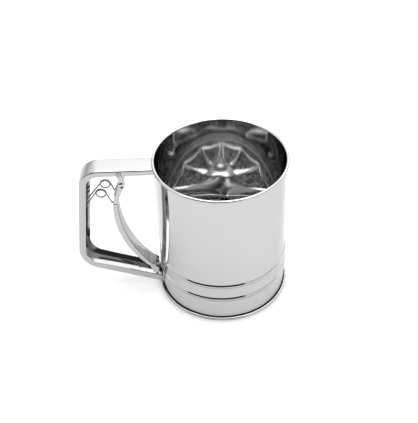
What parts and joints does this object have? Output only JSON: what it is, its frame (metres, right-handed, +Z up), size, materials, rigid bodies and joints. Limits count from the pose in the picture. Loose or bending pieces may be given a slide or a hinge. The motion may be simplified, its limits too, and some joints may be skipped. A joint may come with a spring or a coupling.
{
  "type": "flour sifter",
  "caption": "Hand-squeezed flour sifter: round steel cup with a wire mesh, a scalloped agitator wheel, and a channel handle with a sprung trigger.",
  "frame": {"origin": "on the cup's axis, at the level of the surface that the base roll stands on", "axes": "+Z up along the cup's axis, the handle points along -X, the crank lies on the -Y side at rest"},
  "size_m": [0.1668, 0.1038, 0.123],
  "materials": {
    "polished_sheet": "mirror-polished stainless sheet",
    "handle_sheet": "polished pressed stainless channel",
    "wire_cloth": "woven stainless wire",
    "spring_wire": "bright drawn spring wire",
    "turned_steel": "turned and tumbled steel fittings",
    "bearing_metal": "plain turned bush"
  },
  "bodies": {
    "cup": {"cup_body": "polished_sheet", "screen_hoop": "polished_sheet", "clamp_hoop": "polished_sheet", "mesh_screen": "wire_cloth", "screen_eyelet": "turned_steel", "support_strap": "handle_sheet", "shaft_bush": "bearing_metal", "rod_eyelet": "turned_steel", "handle_channel": "handle_sheet", "trigger_pin": "turned_steel", "pivot_washers": "turned_steel", "torsion_spring": "spring_wire"},
    "trigger": {"trigger_lever": "handle_sheet"},
    "link": {"link_rod": "spring_wire"},
    "agitator": {"agitator_shaft": "turned_steel", "agitator_wheel": "polished_sheet", "hub_washer": "turned_steel", "spacer_washer": "turned_steel", "dome_nut": "turned_steel", "crank_arm": "handle_sheet", "shaft_nut": "turned_steel", "crank_pin": "turned_steel", "pin_clip": "turned_steel"}
  },
  "joints": [
    {"name": "trigger_pivot", "type": "hinge", "parent": "cup", "child": "trigger", "pos_m": [-0.0763, 0, 0.1167], "axis": [0, 1, 0], "range_deg": [0, 7], "stiffness_Nm_per_rad": 1.5, "springref_deg": -8.59, "deforming": ["torsion_spring"]},
    {"name": "link_slide", "type": "slide", "parent": "cup", "child": "link", "axis": [-1, 0, 0], "range_m": [0, 0.0129]},
    {"name": "agitator_turn", "type": "hinge", "parent": "cup", "child": "agitator", "pos_m": [0, 0, 0.023], "axis": [0, 0, 1], "range_deg": [-64.6, 0]}
  ],
  "couplings": [
    {"joint": "link_slide", "follows": "trigger_pivot", "m_per_rad": 0.10475},
    {"joint": "agitator_turn", "follows": "trigger_pivot", "ratio": -9.2073}
  ]
}
